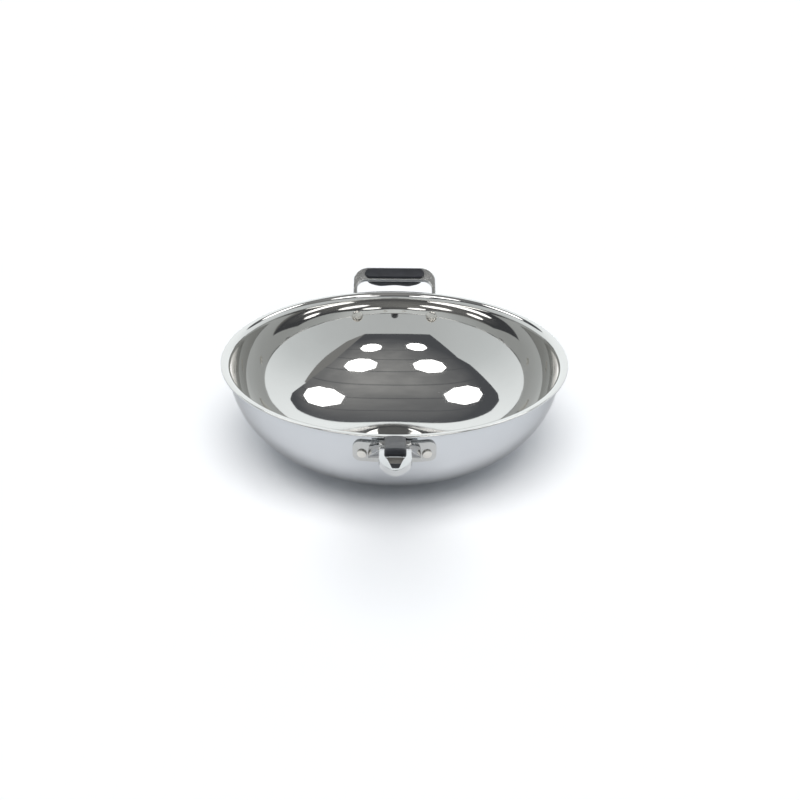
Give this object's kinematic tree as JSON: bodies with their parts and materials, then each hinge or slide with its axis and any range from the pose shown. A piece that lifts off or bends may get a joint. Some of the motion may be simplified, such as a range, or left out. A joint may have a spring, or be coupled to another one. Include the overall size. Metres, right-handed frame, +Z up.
{
  "type": "flat-bottomed wok",
  "caption": "Polished steel wok with a flat base and flared lip, an arched riveted long handle with a hanging hole, and a riveted loop handle, both with black grips.",
  "frame": {"origin": "centre of the flat underside, on the surface that the wok stands on", "axes": "+Z up along the bowl's axis, -Y along the long handle, +Y toward the loop handle"},
  "size_m": [0.356, 0.5609, 0.1725],
  "materials": {
    "bowl_steel": "mirror inside, soft polish outside",
    "handle_steel": "polished",
    "rivet_steel": "polished",
    "grip_black": "satin"
  },
  "bodies": {
    "root": {"bowl": "bowl_steel", "long_handle_frame": "handle_steel", "long_handle_upper_grip": "grip_black", "long_handle_lower_grip": "grip_black", "long_handle_rivet_left": "rivet_steel", "long_handle_rivet_right": "rivet_steel", "long_handle_screw_rear": "rivet_steel", "long_handle_screw_front": "rivet_steel", "loop_handle_frame": "handle_steel", "loop_handle_upper_grip": "grip_black", "loop_handle_lower_grip": "grip_black", "loop_handle_rivet_left": "rivet_steel", "loop_handle_rivet_right": "rivet_steel", "loop_handle_screw_left": "rivet_steel", "loop_handle_screw_right": "rivet_steel"}
  },
  "joints": []
}
